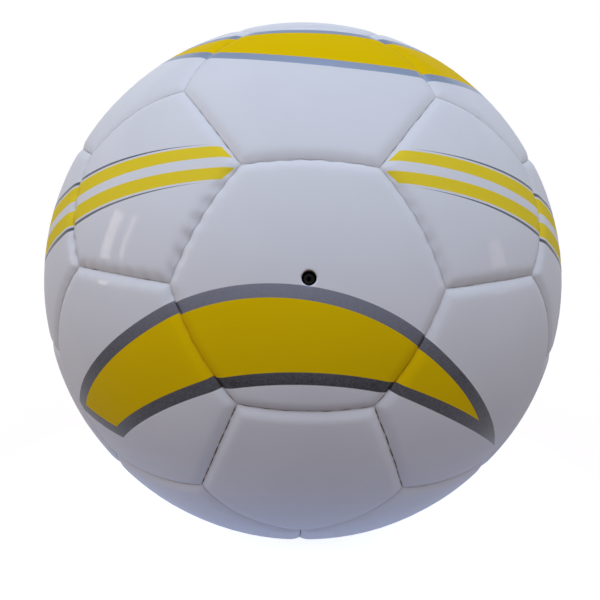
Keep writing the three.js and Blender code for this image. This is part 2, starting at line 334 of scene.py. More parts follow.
# The patch's cloth is grey rubberised cotton.
patch_cloth = plain_weave("rubberised_cotton", thread_pitch=0.9, warp_way="X", dark="2C2C2B",
                          light="6A6A66", roughness=0.85, relief=0.5, depth=0.15)
dress("valve_patch", patch_cloth)

# Panels: twenty hexagons and twelve pentagons of glossy polyurethane skin over foam, lined with cloth.
# They are printed flat, die-cut, turned in along every edge and sewn to each other through that edge.
panel_thickness = 3.2
flange_reach = 1.5
flange_thickness = 1.6
seam_half_gap = 0.02
shoulder_width = 3.7
shoulder_drop = 1.05
shoulder_roll = 0.25
deep_seam_drop = 0.35
deep_seam_height = -24
deep_seam_spread = 24
rim_ease = 0.5
rim_ease_from = 72
rim_ease_reach = 16
crease_width = 0.45
crease_drop = 0.15
soft_width = 9.0
soft_drop = 0.2
corner_softness = 0.45
stitches_per_seam = 7
stitch_uneven = 0.5
stitch_uneven_width = 19
stitch_uneven_seed = 11
stitch_strength = 0.85
stitch_strength_wander = 0.3
stitch_strength_width = 8
stitch_strength_seed = 12
stitch_end_slope = 12
stitch_opening = 0.1
stitch_opening_reach = 0.5
stitch_dent = 0.35
stitch_dent_width = 0.6
seam_scallop = 0.5
scallop_reach = 1.5
pucker_drops = {5: 0.55, 6: 0.25}
pucker_width = 2.4
pucker_height = 32
pucker_spread = 26
pucker_merge = 0.65
pucker_merge_from = -20
pucker_merge_to = 20
slack_from = 15
slack_to = -15
slack_gap = 0.21
seam_wander = 0.16
seam_wander_width = 13
seam_wander_seed = 5
seam_wander_reach = 3
skin_wander = 0.06
skin_wander_width = 22
skin_wander_seed = 21
edge_steps = 48
shoulder_rows = [0.12, 0.28, 0.5, 0.8, 1.2, 1.7, 2.3, 3.1, 4.1, 5.2]
crown_rows = [(0.93, 2), (0.83, 2), (0.7, 4), (0.55, 4), (0.38, 8), (0.2, 8)]
lining_rows = [(0.7, 2), (0.4, 4)]
hole_thinning = 8
valve_hole_radius = 2.1
lining_hole_radius = 1.95
valve_hole_rise = 0.33
hole_edge_rows = [(0.0, 0.55), (0.05, 0.3), (0.16, 0.12), (0.4, 0.02), (0.8, 0.0)]
foot_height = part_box("foot_pentagon")[0].z / mm

ring_latitude = math.atan(1 / 2)
fifth_turn = 2 * math.pi / 5
front_turn = -math.pi / 2


def unit(vectors):
    """Vectors brought to length one."""
    return vectors / np.linalg.norm(vectors, axis=-1, keepdims=True)


def on_ball(turn, latitude):
    """The way from the ball's centre to a place on it."""
    reach = math.cos(latitude)
    return np.array([reach * math.cos(turn), reach * math.sin(turn), math.sin(latitude)])


def pentagon(middle, neighbours):
    """Corners and middle of a pentagon, anticlockwise from outside."""
    return unit(np.array([2 * middle + neighbour for neighbour in neighbours])), middle


def hexagon(a, b, c):
    """Corners and middle of the hexagon between three pentagons, anticlockwise from outside."""
    pairs = [(a, b), (b, a), (b, c), (c, b), (c, a), (a, c)]
    return unit(np.array([2 * near + far for near, far in pairs])), unit(a + b + c)


crown = np.array([0.0, 0.0, 1.0])
foot = -crown
upper = [on_ball(front_turn + (k - 0.5) * fifth_turn, ring_latitude) for k in range(5)]
lower = [on_ball(front_turn + k * fifth_turn, -ring_latitude) for k in range(5)]
panels = {
    "foot_pentagon": pentagon(foot, [lower[-k] for k in range(5)]),
    "crown_pentagon": pentagon(crown, upper),
}
for k in range(5):
    after = (k + 1) % 5
    over_upper = [crown, upper[k - 1], lower[k - 1], lower[k], upper[after]]
    over_lower = [upper[k], lower[k - 1], foot, lower[after], upper[after]]
    panels[f"upper_pentagon_{k + 1}"] = pentagon(upper[k], over_upper)
    panels[f"lower_pentagon_{k + 1}"] = pentagon(lower[k], over_lower)
    panels[f"crown_hexagon_{k + 1}"] = hexagon(crown, upper[k], upper[after])
    panels[f"lower_hexagon_{k + 1}"] = hexagon(lower[k], lower[after], upper[after])
    panels[f"foot_hexagon_{k + 1}"] = hexagon(foot, lower[after], lower[k])
    panels["valve_hexagon" if k == 0 else f"upper_hexagon_{k + 1}"] = hexagon(
        upper[k], lower[k], upper[after])


def nearest_panel(way):
    """The name of the panel whose middle lies that way."""
    return max(panels, key=lambda name: panels[name][1] @ way)


# Sewn by hand, some seams bow: the first panel spreads over the second, by these millimetres in the
# seam's middle. A half turn of the ball repeats them at the back.
half_turn_across = np.diag([1.0, -1.0, -1.0])
bowed_seams = [
    ("valve_hexagon", "crown_hexagon_1", 1.0),
    ("valve_hexagon", "upper_pentagon_1", 1.1),
    ("valve_hexagon", "upper_pentagon_2", 1.4),
    ("valve_hexagon", "lower_hexagon_5", 1.4),
    ("valve_hexagon", "lower_hexagon_1", 1.1),
    ("valve_hexagon", "lower_pentagon_1", 0.8),
    ("upper_pentagon_1", "crown_hexagon_5", 3.0),
    ("upper_pentagon_1", "upper_hexagon_5", 3.8),
    ("upper_pentagon_2", "crown_hexagon_2", 3.0),
    ("upper_pentagon_2", "upper_hexagon_2", 5.5),
    ("lower_pentagon_1", "foot_hexagon_1", 3.5),
    ("lower_pentagon_1", "foot_hexagon_5", 4.2),
    ("crown_hexagon_1", "crown_hexagon_5", 2.5),
    ("crown_hexagon_1", "crown_hexagon_2", 2.0),
    ("lower_hexagon_1", "foot_hexagon_1", 1.2),
    ("lower_hexagon_5", "foot_hexagon_5", 1.8),
    ("lower_hexagon_5", "upper_hexagon_5", 2.3),
    ("lower_hexagon_1", "upper_hexagon_2", 3.0),
]
seam_bows = {name: np.zeros(len(corners)) for name, (corners, middle) in panels.items()}
for turn in [np.eye(3), half_turn_across]:
    for spreading, covered, bow in bowed_seams:
        for one, other, inward in [(spreading, covered, -bow), (covered, spreading, bow)]:
            name = nearest_panel(turn @ panels[one][1])
            corners = panels[name][0]
            edge_middles = corners + np.roll(corners, -1, axis=0)
            seam_bows[name][np.argmax(edge_middles @ turn @ panels[other][1])] = inward


def seam_planes(corners):
    """For each edge of a panel, the way from the edge's plane into the panel."""
    return unit(np.cross(corners, np.roll(corners, -1, axis=0)))


# This way lies in no seam's plane, so it tells the two sides of every seam apart.
telling_way = np.array([0.9, 0.4, 0.17])


def seam_side(plane):
    """Plus one for the panel on one side of a seam and minus one for its neighbour."""
    return 1.0 if plane @ telling_way > 0 else -1.0


def stitch_pull(seam_points, shares, side):
    """How hard the thread pulls the edge in, from 0 between stitches to about 1 at a stitch."""
    uneven = stitch_uneven * wander(seam_points, stitch_uneven_width, stitch_uneven_seed)
    waves = np.cos(2 * math.pi * stitches_per_seam * shares * side + uneven)
    stronger = wander(seam_points, stitch_strength_width, stitch_strength_seed)
    strength = stitch_strength + stitch_strength_wander * stronger
    ends = np.clip(stitch_end_slope * np.minimum(shares, 1 - shares), 0, 1)
    return (0.5 - 0.5 * waves) * strength * ends


def seam_drift(on_seam, shares, side):
    """How far a seam strays aside from its straight run, in millimetres."""
    stray = wander(on_seam * ball_radius, seam_wander_width, seam_wander_seed)
    return seam_wander * side * stray * np.sin(math.pi * shares)


def seam_slack(seam_points):
    """0 on the tightly drawn seams of the upper half and 1 on the slacker ones below."""
    fall = np.clip((slack_from - seam_points[:, 2]) / (slack_from - slack_to), 0, 1)
    return fall ** 2 * (3 - 2 * fall)


def edge_row(name, inset, steps=edge_steps):
    """Ways to points round a panel at a distance from its seams, and the pull of the stitches there."""
    corners = panels[name][0]
    planes = seam_planes(corners)
    before = np.roll(planes, 1, axis=0)
    lift = inset / ball_radius
    spread = 1 + np.sum(before * planes, axis=1, keepdims=True)
    inward = (before + planes) * lift / spread
    turns = inward + corners * np.sqrt(1 - np.sum(inward ** 2, axis=1, keepdims=True))
    ways = []
    pulls = []
    shares = np.arange(steps) / steps
    for i, plane in enumerate(planes):
        side = seam_side(plane)
        row = turns[i] + (turns[(i + 1) % len(turns)] - turns[i]) * shares[:, None]
        on_seam = unit(row - np.outer(row @ plane, plane))
        pull = stitch_pull(on_seam * ball_radius, shares, side)
        slack = seam_slack(on_seam * ball_radius)
        drift = seam_drift(on_seam, shares, side) * math.exp(-inset / seam_wander_reach)
        bow = seam_bows[name][i]
        scallop = np.sign(bow) * seam_scallop * (0.5 - pull) * (1 - slack)
        drift += scallop * np.sin(math.pi * shares) * math.exp(-inset / scallop_reach)
        drift += bow * 4 * shares * (1 - shares)
        between = 4 * pull * np.clip(1 - pull, 0, 1)
        opening = stitch_opening * pull ** 2 * (1 - slack) + slack_gap * slack * between
        lifts = (inset + drift + opening * math.exp(-inset / stitch_opening_reach)) / ball_radius
        ways.append(on_seam * np.sqrt(1 - lifts ** 2)[:, None] + np.outer(lifts, plane))
        from_tightest = (on_seam[:, 2] * ball_radius - pucker_height) / pucker_spread
        rightward = on_seam[:, 0] * ball_radius - pucker_merge_from
        merge = pucker_merge * np.clip(rightward / (pucker_merge_to - pucker_merge_from), 0, 1)
        merged = pull * (1 - merge) + 0.5 * merge * np.sin(math.pi * shares)
        pulls.append(merged * np.exp(-from_tightest ** 2))
    return np.concatenate(ways), np.concatenate(pulls)


def seam_distance(ways, name):
    """Distance in millimetres from the nearest seam, rounded off where two seams meet."""
    corners = panels[name][0]
    edges = np.roll(corners, -1, axis=0) - corners
    half_edge_angle = math.asin(np.linalg.norm(edges[0]) / 2)
    shares = np.arcsin(np.clip(ways @ unit(edges).T, -1, 1)) / half_edge_angle
    distances = ball_radius * np.arcsin(np.clip(ways @ seam_planes(corners).T, -1, 1))
    distances -= seam_bows[name] * np.clip(1 - shares ** 2, 0, 1)
    nearest = distances.min(axis=1, keepdims=True)
    closeness = np.exp(-(distances - nearest) / corner_softness).sum(axis=1)
    return nearest[:, 0] - corner_softness * np.log(closeness)


def shoulder_depth(ways):
    """How far a panel's shoulder falls to the seam: most below the ball's waist, least round its rim."""
    heights = ways[:, 2] * ball_radius
    deep = np.exp(-((heights - deep_seam_height) / deep_seam_spread) ** 2)
    from_axis = np.hypot(ways[:, 0], ways[:, 2]) * ball_radius
    eased = np.clip((from_axis - rim_ease_from) / rim_ease_reach, 0, 1)
    return shoulder_drop + deep_seam_drop * deep - rim_ease * eased


def outer_skin(ways, pulls, name):
    """Points of the outer skin: a puffed crown that rolls over a rounded shoulder into the seam."""
    distance = np.maximum(seam_distance(ways, name), 0)
    share = np.clip(1 - distance / shoulder_width, 0, 1)
    drop = shoulder_depth(ways) * share ** 2 * (1 + shoulder_roll - shoulder_roll * share)
    drop += crease_drop * np.exp(-distance / crease_width)
    drop += soft_drop * np.exp(-distance / soft_width)
    drop += stitch_dent * pulls * np.exp(-distance / stitch_dent_width)
    pucker_drop = pucker_drops[len(seam_bows[name])]
    drop += pucker_drop * pulls * np.exp(-(distance / pucker_width) ** 2)
    ripple = skin_wander * wander(ways * ball_radius, skin_wander_width, skin_wander_seed)
    return ways * (ball_radius - drop + ripple)[:, None]


def polar_row(centre, ways, share, hole_angle):
    """Ways that lie a share of the angle from a hole's edge round a centre out to the given ways."""
    aside = unit(ways - np.outer(ways @ centre, centre))
    angles = np.arccos(np.clip(ways @ centre, -1, 1))
    angles = hole_angle + share * (angles - hole_angle)
    return np.outer(np.cos(angles), centre) + aside * np.sin(angles)[:, None]


def panel_mesh(name):
    """Points, faces and the finish of each face: 0 printed skin, 1 cloth lining, 2 foam edge."""
    holed = name == "valve_hexagon"
    centre = unit(valve_axis * ball_radius + crown * valve_hole_rise) if holed else panels[name][1]
    hole_angle = (valve_hole_radius + hole_edge_rows[-1][0]) / ball_radius if holed else 0.0
    lining_radius = ball_radius - panel_thickness
    flange_inset = seam_half_gap + flange_thickness
    crown_row = edge_row(name, shoulder_rows[-1])[0]
    rows = []
    if holed:
        for past_edge, drop in hole_edge_rows:
            angle = (valve_hole_radius + past_edge) / ball_radius
            ways = polar_row(centre, crown_row[::hole_thinning], 0.0, angle)
            rows.append(ways * (ball_radius - drop))
    else:
        rows.append(outer_skin(centre[None], np.zeros(1), name))
    for share, thinning in reversed(crown_rows):
        ways = polar_row(centre, crown_row[::thinning], share, hole_angle)
        rows.append(outer_skin(ways, np.zeros(len(ways)), name))
    for inset in reversed(shoulder_rows):
        ways, pulls = edge_row(name, inset)
        rows.append(outer_skin(ways, pulls, name))
    ways, pulls = edge_row(name, seam_half_gap)
    rows.append(outer_skin(ways, pulls, name))
    skin_rows = len(rows)
    rows.append(ways * (lining_radius - flange_reach))
    ways, pulls = edge_row(name, flange_inset, edge_steps // 2)
    rows.append(ways * (lining_radius - flange_reach))
    rows.append(ways * lining_radius)
    for share, thinning in lining_rows:
        rows.append(polar_row(centre, ways[::thinning], share, hole_angle) * lining_radius)
    if holed:
        angle = lining_hole_radius / lining_radius
        rows.append(polar_row(valve_axis, crown_row[::hole_thinning], 0.0, angle) * lining_radius)
    else:
        rows.append(centre[None] * lining_radius)
    points, faces, bands = skin(rows, round_again=holed)
    finishes = np.zeros(len(faces), int)
    bands = np.array(bands)
    finishes[bands >= skin_rows] = 1
    if holed:
        finishes[bands == len(rows) - 1] = 2
    if name == "foot_pentagon":
        points[:, 2] = np.maximum(points[:, 2], foot_height)
    return points, faces, finishes


# Prints: yellow and grey inks, put on the flat sheet before the panels are cut out of it.
# One band crosses three panels, from a blunt end to a point, and half turns of the ball repeat it.
# Twin stripes sweep round both sides. All are drawn in millimetres from a panel's middle.
seam_way = unit(panels["valve_hexagon"][1] + panels["crown_hexagon_1"][1])
half_turn_on_seam = 2 * np.outer(seam_way, seam_way) - np.eye(3)
crown_slip = 2.6
stripe_tilt = math.radians(59.3)
stripe_up = np.array([0.0, math.cos(stripe_tilt), math.sin(stripe_tilt)])


def level_frame(middle):
    """East and north on the flat panel."""
    east = unit(np.cross(crown, middle))
    return east, np.cross(middle, east)


def flat_places(ways, middle, east, north, slip):
    """Where points lie on the flat panel, in millimetres east and north of its middle.

    The print on the panel has slipped south by the slip.
    """
    aside = ways - np.outer(ways @ middle, middle)
    reach = np.maximum(np.linalg.norm(aside, axis=1), 1e-9)
    spread = ball_radius * np.arctan2(reach, ways @ middle) / reach
    flat = [spread * (aside @ east), spread * (aside @ north) + slip, np.zeros(len(ways))]
    return np.stack(flat, axis=1)


def stripe_places(ways, up, tip):
    """Where points lie along and across the stripes, in millimetres."""
    along = ball_radius * np.arcsin(np.clip(ways @ tip, -1, 1))
    across = ball_radius * np.arcsin(np.clip(ways @ up, -1, 1))
    return np.stack([along, across, np.zeros(len(ways))], axis=1)


prints = {}
for turn, slip in [
    (np.eye(3), 0.0),
    (half_turn_on_seam, crown_slip),
    (half_turn_across, 0.0),
    (half_turn_across @ half_turn_on_seam, crown_slip),
]:
    for kind, name in [
        ("band_middle", "valve_hexagon"),
        ("band_blunt_end", "lower_hexagon_5"),
        ("band_point", "lower_hexagon_1"),
    ]:
        middle = panels[name][1]
        east, north = level_frame(middle)
        prints[nearest_panel(turn @ middle)] = (kind, turn @ east, turn @ north, slip)
for turn in [np.eye(3), half_turn_across]:
    for name in ["upper_pentagon_1", "upper_pentagon_2", "upper_hexagon_5", "upper_hexagon_2"]:
        printed = nearest_panel(turn @ panels[name][1])
        prints[printed] = ("stripe_run", turn @ stripe_up, turn @ seam_way, 0.0)

ink_softness = 0.1


def inside_arc(tree, flat, centre, radius):
    """1 inside a round edge of the print and 0 outside it."""
    away = add_node(tree, "VectorMath", {"Vector": flat, "Vector_001": (*centre, 0.0)},
                    output="Value", operation="DISTANCE")
    return add_node(tree, "MapRange", {
        "Value": away, "From Min": radius - ink_softness, "From Max": radius + ink_softness,
        "To Min": 1.0, "To Max": 0.0})


def above_cut(tree, flat, start, end):
    """1 on the left of a straight edge of the print, seen from its start, and 0 on the right."""
    along = unit(np.array(end) - np.array(start))
    left = (-along[1], along[0], 0.0)
    height = add_node(tree, "VectorMath", {"Vector": flat, "Vector_001": left},
                      output="Value", operation="DOT_PRODUCT")
    level = float(left[0] * start[0] + left[1] * start[1])
    return add_node(tree, "MapRange", {
        "Value": height, "From Min": level - ink_softness, "From Max": level + ink_softness})


def both(tree, one, other):
    """Where two parts of a print overlap."""
    return add_node(tree, "Math", [one, other], operation="MULTIPLY")


def between_arcs(tree, flat, outer, inner):
    """The crescent inside one round edge and outside another; each is a centre and a radius."""
    hollow = add_node(tree, "Math", [1.0, inside_arc(tree, flat, *inner)], operation="SUBTRACT")
    return both(tree, inside_arc(tree, flat, *outer), hollow)


# The outer and inner edges of each ink are arcs: a centre, east and north of the middle, and a radius.
middle_yellow = (((-9.0, -71.4), 68.4), ((-1.1, -120.2), 96.4))
middle_grey = (((-9.1, -71.5), 72.4), ((-1.0, -121.2), 93.6))
blunt_yellow = (((103.0, -113.3), 161.1), ((83.3, -117.8), 135.8))
blunt_grey = (((104.0, -115.2), 167.1), ((75.4, -105.2), 117.1))
blunt_yellow_cut = ((-23.5, -13.5), (-6.4, -15.7))
blunt_grey_cut = ((-31.5, -17.1), (-5.2, -19.8))
point_yellow = (((-106.8, -88.3), 131.7), ((-88.6, -140.8), 158.1))
point_grey = (((-157.2, -142.8), 209.5), ((-134.6, -223.7), 249.0))


def band_middle(tree, flat):
    """Yellow and grey of the stretch of band on the middle panel."""
    return between_arcs(tree, flat, *middle_yellow), between_arcs(tree, flat, *middle_grey)


def band_blunt_end(tree, flat):
    """Yellow and grey of the band's end that is cut square."""
    yellow = between_arcs(tree, flat, *blunt_yellow)
    grey = between_arcs(tree, flat, *blunt_grey)
    yellow = both(tree, yellow, above_cut(tree, flat, *blunt_yellow_cut))
    grey = both(tree, grey, above_cut(tree, flat, *blunt_grey_cut))
    return yellow, grey


def band_point(tree, flat):
    """Yellow and grey of the band's end that runs out to a point."""
    return between_arcs(tree, flat, *point_yellow), between_arcs(tree, flat, *point_grey)


stripe_middle = 3.5
stripe_bend = 0.0008
stripe_bend_from = 95
stripe_bend_reach = 35
stripe_half_gap = 1.65
stripe_thickness = 6.9
stripe_taper = 0.025
line_gap = 0.65
line_start = 125
line_growth = 0.021
line_thickest = 1.5
tip_end = 134.6
tip_slant = 1.12
tip_rise = -0.4


def below(tree, value, edge):
    """1 where a value is under an edge and 0 over it, with the ink's soft border."""
    under = add_node(tree, "Math", [edge, value], operation="SUBTRACT")
    return add_node(tree, "MapRange", {
        "Value": under, "From Min": -ink_softness, "From Max": ink_softness})


def stripe_run(tree, flat):
    """Two swept yellow stripes, each with a thin grey line along its outer side that swells with it."""
    along, across = (add_node(tree, "SeparateXYZ", [flat], output=axis) for axis in "XY")
    past_bend = add_node(tree, "Math", [along, stripe_bend_from], operation="SUBTRACT")
    past_bend = add_node(tree, "Math", [past_bend, -stripe_bend_reach], operation="MAXIMUM")
    bend = add_node(tree, "Math", [past_bend, past_bend], operation="MULTIPLY")
    from_middle = add_node(tree, "Math", [bend, stripe_bend, across], operation="MULTIPLY_ADD")
    from_middle = add_node(tree, "Math", [from_middle, stripe_middle], operation="SUBTRACT")
    away = add_node(tree, "Math", [from_middle], operation="ABSOLUTE")
    outer = add_node(tree, "Math", [along, -stripe_taper, stripe_half_gap + stripe_thickness],
                     operation="MULTIPLY_ADD")
    yellow = add_node(tree, "Math", [below(tree, away, outer), below(tree, away, stripe_half_gap)],
                      operation="SUBTRACT")
    from_start = add_node(tree, "Math", [line_start, along], operation="SUBTRACT")
    from_start = add_node(tree, "Math", [from_start, 0.0], operation="MAXIMUM")
    swell = add_node(tree, "Math", [from_start, line_growth], operation="MULTIPLY")
    swell = add_node(tree, "Math", [swell, line_thickest], operation="MINIMUM")
    line_inner = add_node(tree, "Math", [outer, line_gap], operation="ADD")
    line_outer = add_node(tree, "Math", [line_inner, swell], operation="ADD")
    grey = add_node(tree, "Math", [below(tree, away, line_outer), below(tree, away, line_inner)],
                    operation="SUBTRACT")
    from_tip = add_node(tree, "Math", [from_middle, tip_rise], operation="SUBTRACT")
    slanted = add_node(tree, "Math", [from_tip], operation="ABSOLUTE")
    slanted_along = add_node(tree, "Math", [slanted, tip_slant, along], operation="MULTIPLY_ADD")
    return both(tree, yellow, below(tree, slanted_along, tip_end)), grey


def bare(tree, flat):
    """No ink."""
    return None, None


band_yellows = ("E3BE00", "E9C500")
# Grey inks below the waist, in the middle and at the crown: a painted reflection, darker low down and
# paler and bluer towards the crown.
band_silver_painted_reflections = ("28272B", "737583", "A1AFC6")
band_end_silver_painted_reflections = ("3B3A40", "6C6D79", "98A6BD")
stripe_yellows = ("E7CE2A", "ECD438")
stripe_silver_painted_reflections = ("4A4D57", "4A4D57", "666C7A")
# Heights in millimetres where the grey ink's painted reflection turns from dark to mid to pale.
painted_reflection_low = -10
painted_reflection_middle = 20
painted_reflection_high = 75


def polyurethane(name, draw_print, yellows, silvers_with_painted_reflection):
    """Gloss-coated polyurethane: smooth and white, with a clear top coat, fine grain and printed inks.

    The yellow ink is flat and opaque. The grey ink holds fine metal flakes with a painted sparkle of
    paler specks, and a painted reflection: darker low on the ball, paler and bluer towards the crown.
    A thin brown tint lies along the seams, darkest at the seam line.
    """
    grain_width = 0.45 * mm
    orange_peel_width = 5 * mm
    mottle_width = 30 * mm
    # Real flakes are about a tenth as wide, too fine to show.
    flake_width = 0.35 * mm
    painted_flake_sparkle = 0.08
    flake_metal = 0.5
    coat_gloss = 0.16
    yellow_dulling = -0.1
    seam_tint_reach = 0.6
    seam_tint_strength = 0.15
    material, tree, place = new_material(name)
    flat = add_node(tree, "Attribute", output="Vector", attribute_name="print_place")
    seam = add_node(tree, "Attribute", output="Fac", attribute_name="seam_distance")
    yellow, grey = draw_print(tree, flat)
    mottle = add_node(tree, "TexNoise", {"Vector": place, "Scale": 1 / mottle_width, "Detail": 4.0})
    colour = add_node(tree, "Mix", [mottle, linear("D6D8DC"), linear("E2E3E6")], data_type="RGBA")
    roughness = add_node(tree, "MapRange", {"Value": mottle, "To Min": 0.3, "To Max": 0.45})
    metallic = 0.0
    gloss = coat_gloss
    if grey is not None:
        flakes = add_node(tree, "TexVoronoi", {"Vector": place, "Scale": 1 / flake_width},
                          output="Color")
        flake = add_node(tree, "SeparateColor", {"Color": flakes})
        height = add_node(tree, "SeparateXYZ", {"Vector": place}, output="Z")
        # Painted reflection: the grey ink darkens low on the ball and pales towards the crown.
        painted_reflection_to_waist = add_node(tree, "MapRange", {
            "Value": height, "From Min": painted_reflection_low * mm, "From Max": painted_reflection_middle * mm})
        painted_reflection_to_crown = add_node(tree, "MapRange", {
            "Value": height, "From Min": painted_reflection_middle * mm, "From Max": painted_reflection_high * mm})
        grey_ink_with_painted_light = add_node(tree, "Mix", [painted_reflection_to_waist, linear(silvers_with_painted_reflection[0]), linear(silvers_with_painted_reflection[1])],
                            data_type="RGBA")
        grey_ink_with_painted_light = add_node(tree, "Mix", [painted_reflection_to_crown, grey_ink_with_painted_light, linear(silvers_with_painted_reflection[2])], data_type="RGBA")
        # Painted sparkle: random flakes are painted paler than the ink.
        sparkle = add_node(tree, "Math", [flake, painted_flake_sparkle], operation="MULTIPLY")
        grey_ink_with_painted_light = add_node(tree, "Mix", [sparkle, grey_ink_with_painted_light, linear("B0B2BA")], data_type="RGBA")
        colour = add_node(tree, "Mix", [grey, colour, grey_ink_with_painted_light], data_type="RGBA")
        yellow_ink = add_node(tree, "Mix", [mottle, linear(yellows[0]), linear(yellows[1])],
                              data_type="RGBA")
        colour = add_node(tree, "Mix", [yellow, colour, yellow_ink], data_type="RGBA")
        bare_grey = add_node(tree, "Math", [grey, yellow], operation="SUBTRACT", use_clamp=True)
        metallic = add_node(tree, "Math", [bare_grey, flake_metal], operation="MULTIPLY")
        gloss = add_node(tree, "Math", [yellow, yellow_dulling, coat_gloss], operation="MULTIPLY_ADD")
    # A brown tint along the seams, darkest at the seam line and gone within the reach.
    seam_tint = add_node(tree, "MapRange", {
        "Value": seam, "From Min": 0.0, "From Max": seam_tint_reach,
        "To Min": seam_tint_strength, "To Max": 0.0})
    colour = add_node(tree, "Mix", [seam_tint, colour, linear("8A7256")], data_type="RGBA")
    grain = add_node(tree, "TexNoise", {"Vector": place, "Scale": 1 / grain_width, "Detail": 2.0})
    peel = add_node(tree, "TexNoise", {"Vector": place, "Scale": 1 / orange_peel_width})
    fine = add_node(tree, "Bump", {"Height": grain, "Strength": 0.06, "Distance": 0.05 * mm})
    bump = add_node(tree, "Bump", {
        "Height": peel, "Strength": 0.15, "Distance": 0.1 * mm, "Normal": fine})
    surface = add_node(tree, "BsdfPrincipled", {
        "Base Color": colour, "Roughness": roughness, "Metallic": metallic,
        "Specular IOR Level": 0.0, "Coat Weight": gloss, "Coat Roughness": 0.07, "Coat IOR": 1.5,
        "Normal": bump, "Coat Normal": bump})
    add_node(tree, "OutputMaterial", [surface])
    return material


def foam_edge():
    """Closed-cell foam where the valve hole was punched: brown, matt and finely pitted, with painted
    shade in the pits.
    """
    cell_width = 0.3 * mm
    material, tree, place = new_material("closed_cell_foam")
    cells = add_node(tree, "TexVoronoi", {"Vector": place, "Scale": 1 / cell_width})
    # Painted shade: each pit is painted darker brown towards its middle.
    colour = add_node(tree, "Mix", [cells, linear("4A3728"), linear("7A5E45")], data_type="RGBA")
    bump = add_node(tree, "Bump", {"Height": cells, "Strength": 0.5, "Distance": 0.1 * mm})
    surface = add_node(tree, "BsdfPrincipled", {
        "Base Color": colour, "Roughness": 0.85, "Normal": bump})
    add_node(tree, "OutputMaterial", [surface])
    return material


covers = {}
for draw_print, yellows, silvers_with_painted_reflection in [
    (bare, band_yellows, band_silver_painted_reflections),
    (band_middle, band_yellows, band_silver_painted_reflections),
    (band_blunt_end, band_yellows, band_end_silver_painted_reflections),
    (band_point, band_yellows, band_end_silver_painted_reflections),
    (stripe_run, stripe_yellows, stripe_silver_painted_reflections),
]:
    kind = draw_print.__name__
    covers[kind] = polyurethane("polyurethane_" + kind, draw_print, yellows, silvers_with_painted_reflection)
# The lining is polyester and cotton in layers, greyish and stiff with latex.
lining = plain_weave("polyester_cotton_lining", thread_pitch=0.8, warp_way="DIAGONAL", dark="8A8579",
                     light="CFCABC", roughness=0.9, relief=0.4, depth=0.12)
foam = foam_edge()
unprinted = ("bare", *level_frame(panels["valve_hexagon"][1]), 0.0)

for name, (corners, middle) in panels.items():
    points, faces, finishes = panel_mesh(name)
    kind, first, second, slip = prints.get(name, unprinted)
    finish_list = [covers[kind], lining, foam] if name == "valve_hexagon" else [covers[kind], lining]
    panel = mesh_piece(name + "_cover", points, faces, *finish_list)
    panel.data.polygons.foreach_set("material_index", finishes)
    ways = unit(points)
    if kind.startswith("stripe"):
        places = stripe_places(ways, first, second)
    else:
        places = flat_places(ways, middle, first, second, slip)
    print_place = panel.data.attributes.new("print_place", "FLOAT_VECTOR", "POINT")
    print_place.data.foreach_set("vector", places.ravel())
    from_seam = panel.data.attributes.new("seam_distance", "FLOAT", "POINT")
    from_seam.data.foreach_set("value", np.maximum(seam_distance(ways, name), 0))
    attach(panel, "ball")
    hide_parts(name)

# Seam thread: waxed polyester, sewn by hand with two needles through the turned-in edges.
# It dives through the edges between stitches and shows only as short brown strands deep in the seams.
thread_radius = 0.2
thread_depth = 1.6
thread_swing = 0.25
slack_rise = 1.3
thread_sides = 6
thread_steps = 64


def waxed_polyester():
    """Waxed polyester thread: brown, dull, with a twist that shows as slanting painted light and shade.
    """
    twist_pitch = 0.6 * mm
    material, tree, place = new_material("waxed_polyester_thread")
    twist = add_node(tree, "TexWave", {
        "Vector": place, "Scale": math.pi / (10 * twist_pitch), "Distortion": 1.5},
        bands_direction="DIAGONAL")
    # Painted light and shade: the twist's ridges are painted lighter and its grooves darker.
    colour = add_node(tree, "Mix", [twist, linear("58402C"), linear("8E6E4C")], data_type="RGBA")
    bump = add_node(tree, "Bump", {"Height": twist, "Strength": 0.4, "Distance": 0.08 * mm})
    surface = add_node(tree, "BsdfPrincipled", {
        "Base Color": colour, "Roughness": 0.7, "Normal": bump})
    add_node(tree, "OutputMaterial", [surface])
    return material


def seam_strand(start, end, bow):
    """One seam's thread from corner to corner, rising to each stitch and diving after it."""
    plane = unit(np.cross(start, end))
    side = seam_side(plane)
    shares = np.arange(1, thread_steps) / thread_steps
    straight = unit(start + (end - start) * shares[:, None])
    pulls = stitch_pull(straight * ball_radius, shares, side)
    drift = seam_drift(straight, shares, side) + bow * 4 * shares * (1 - shares)
    ways = unit(straight * ball_radius + np.outer(drift, plane))
    lips = shoulder_depth(ways) + crease_drop + soft_drop
    depths = lips + thread_depth - thread_swing * (2 * pulls - 1)
    depths -= slack_rise * seam_slack(straight * ball_radius)
    path = ways * (ball_radius - depths)[:, None]
    turns = 2 * math.pi * np.arange(thread_sides) / thread_sides
    rows = []
    for point, way in zip(path, ways):
        across = np.outer(np.cos(turns), plane) + np.outer(np.sin(turns), way)
        rows.append(point + thread_radius * across)
    return skin([path[:1], *rows, path[-1:]])[:2]


thread_points = []
thread_faces = []
for name, (corners, middle) in panels.items():
    for start, end, bow in zip(corners, np.roll(corners, -1, axis=0), seam_bows[name]):
        if seam_side(unit(np.cross(start, end))) < 0:
            continue
        points, faces = seam_strand(start, end, bow)
        first = sum(len(made) for made in thread_points)
        thread_points.append(points)
        thread_faces += [tuple(first + corner for corner in face) for face in faces]
thread = mesh_piece("stitches", np.concatenate(thread_points), thread_faces, waxed_polyester())
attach(thread, "ball")
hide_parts("seam_thread")

